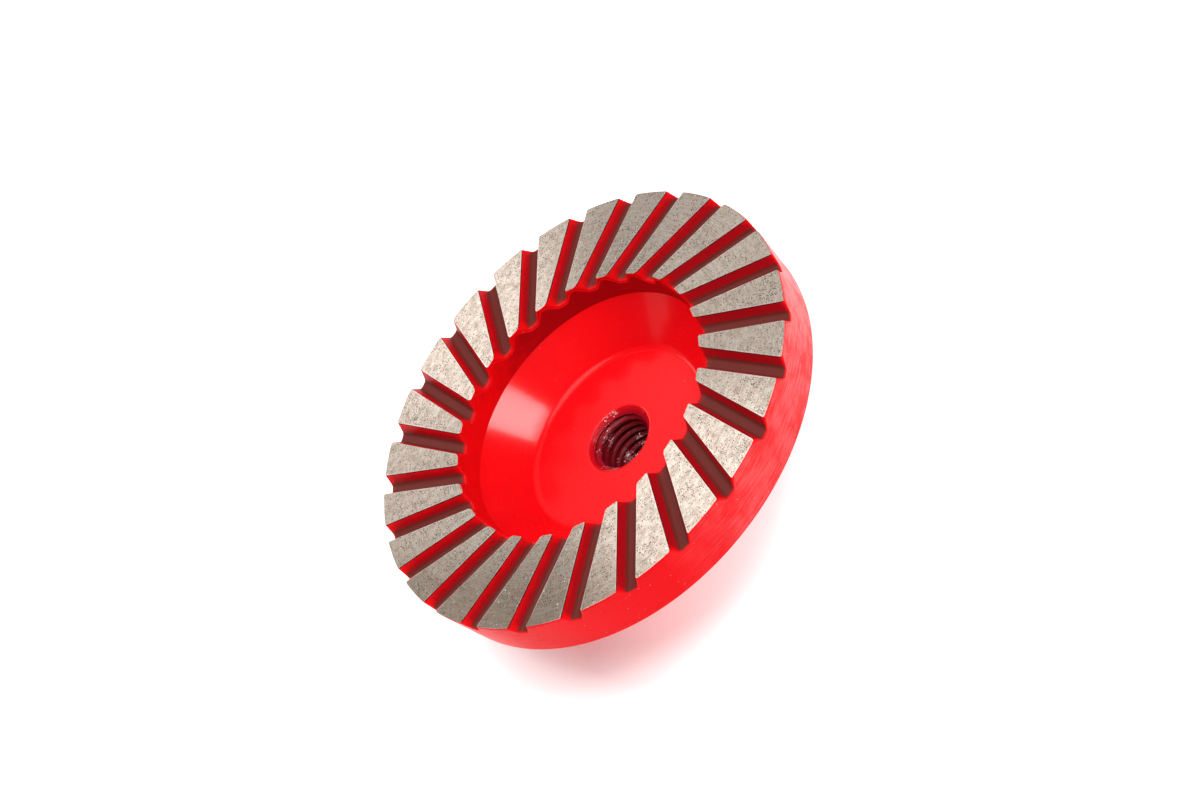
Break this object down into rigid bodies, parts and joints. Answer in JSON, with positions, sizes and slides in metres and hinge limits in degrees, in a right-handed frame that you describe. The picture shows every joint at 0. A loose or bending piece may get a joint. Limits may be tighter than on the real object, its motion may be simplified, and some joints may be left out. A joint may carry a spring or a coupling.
{
  "type": "diamond cup grinding wheel",
  "caption": "Cup-shaped grinding wheel: a slotted sintered diamond ring on the rim of a dished steel body with a tapped hub.",
  "frame": {"origin": "centre of the hub's back face, on the spindle axis, where the wheel seats on the grinder's flange and where it rests when it lies face up", "axes": "+Z along the spindle axis from the hub's back face to the grinding face, +X parallel to one slot"},
  "size_m": [0.1, 0.1, 0.03],
  "materials": {
    "cup_paint": "glossy bright red spray paint on turned steel",
    "diamond_matrix": "bare ground sintered metal with diamond grit on the face, red paint in the slots and on both walls"
  },
  "bodies": {
    "root": {"cup_body": "cup_paint", "diamond_ring": "diamond_matrix"}
  },
  "joints": []
}
